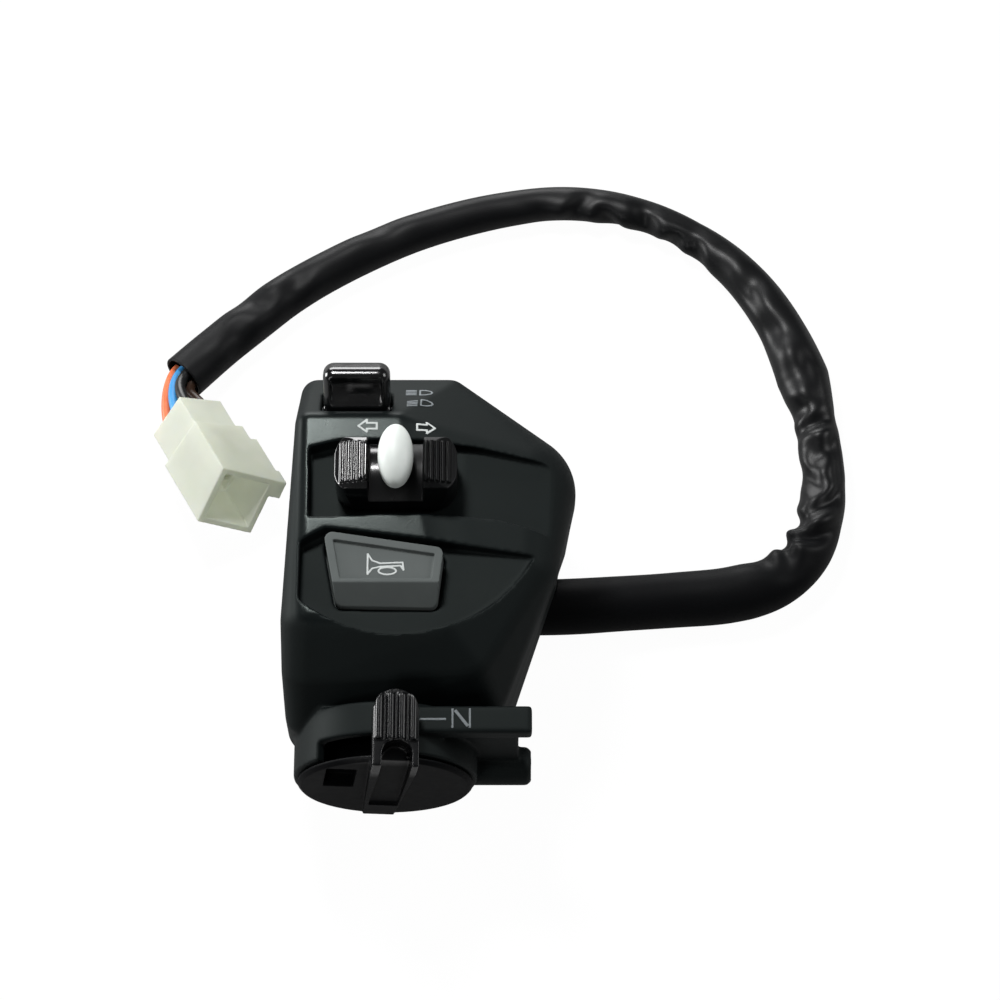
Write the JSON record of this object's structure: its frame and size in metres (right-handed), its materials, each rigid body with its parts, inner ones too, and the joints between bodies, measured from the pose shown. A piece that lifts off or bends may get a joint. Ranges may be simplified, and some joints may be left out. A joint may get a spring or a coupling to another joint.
{
  "type": "handlebar switch cluster",
  "caption": "Left-hand motorbike handlebar switch: clamped housing with dimmer rocker, turn slider, horn button, choke lever, sleeved harness and nylon connector.",
  "frame": {"origin": "on the handlebar's axis, at the middle of the wall that grips the bar", "axes": "+X along the bar towards the middle of the bike, +Y up the face towards the dimmer, +Z out of the face at the rider"},
  "size_m": [0.1503, 0.1521, 0.0622],
  "materials": {
    "housing_black": "grained",
    "knob_black": "gloss",
    "lever_black": "satin",
    "button_grey": "satin",
    "button_white": "satin",
    "board": "satin",
    "brass": "bare",
    "steel": "zinc plated",
    "rubber": "matt",
    "sleeve": "semi-gloss vinyl",
    "nylon": "natural nylon",
    "wire_orange": "vinyl",
    "wire_blue": "vinyl",
    "wire_black": "vinyl",
    "wire_brown": "vinyl",
    "wire_green": "vinyl",
    "wire_yellow": "vinyl"
  },
  "bodies": {
    "housing": {"front_housing": "housing_black", "rear_housing": "housing_black", "case_screws": "steel", "turn_base": "board", "turn_contacts": "brass", "horn_base": "board", "horn_base_screws": "steel", "horn_spring": "steel", "horn_contact": "brass", "horn_terminal": "brass", "dimmer_pin": "steel", "dimmer_base": "board", "dimmer_contacts": "brass", "choke_washer": "steel", "cable_grommet": "rubber", "inner_loom": "sleeve", "harness_sleeve": "sleeve", "wire_orange": "wire_orange", "wire_blue": "wire_blue", "wire_black": "wire_black", "wire_brown": "wire_brown", "wire_green": "wire_green", "wire_yellow": "wire_yellow", "connector_body": "nylon", "connector_terminals": "brass"},
    "dimmer": {"dimmer_rocker": "knob_black", "dimmer_blade": "brass"},
    "turn": {"turn_slider": "knob_black", "turn_carrier": "board", "turn_bridge": "brass", "cancel_spring": "steel"},
    "cancel": {"cancel_button": "button_white"},
    "horn": {"horn_button": "button_grey"},
    "choke": {"choke_lever": "lever_black", "choke_clip": "steel"}
  },
  "joints": [
    {"name": "dimmer_rock", "type": "hinge", "parent": "housing", "child": "dimmer", "pos_m": [-0.014, 0.01494, 0.02465], "axis": [1, 0, 0], "range_deg": [-7, 7]},
    {"name": "turn_slide", "type": "slide", "parent": "housing", "child": "turn", "axis": [1, 0, 0], "range_m": [-0.004, 0.004], "stiffness_N_per_m": 200},
    {"name": "cancel_push", "type": "slide", "parent": "turn", "child": "cancel", "axis": [0, 0, -1], "range_m": [0, 0.002], "stiffness_N_per_m": 300, "springref_m": -0.001, "deforming": ["cancel_spring"]},
    {"name": "horn_push", "type": "slide", "parent": "housing", "child": "horn", "axis": [0, 0, -1], "range_m": [0, 0.002], "stiffness_N_per_m": 400, "springref_m": -0.001, "deforming": ["horn_spring"]},
    {"name": "choke_swing", "type": "hinge", "parent": "housing", "child": "choke", "pos_m": [-0.008, -0.052, 0.004], "axis": [0, -1, 0], "range_deg": [0, 40]}
  ]
}
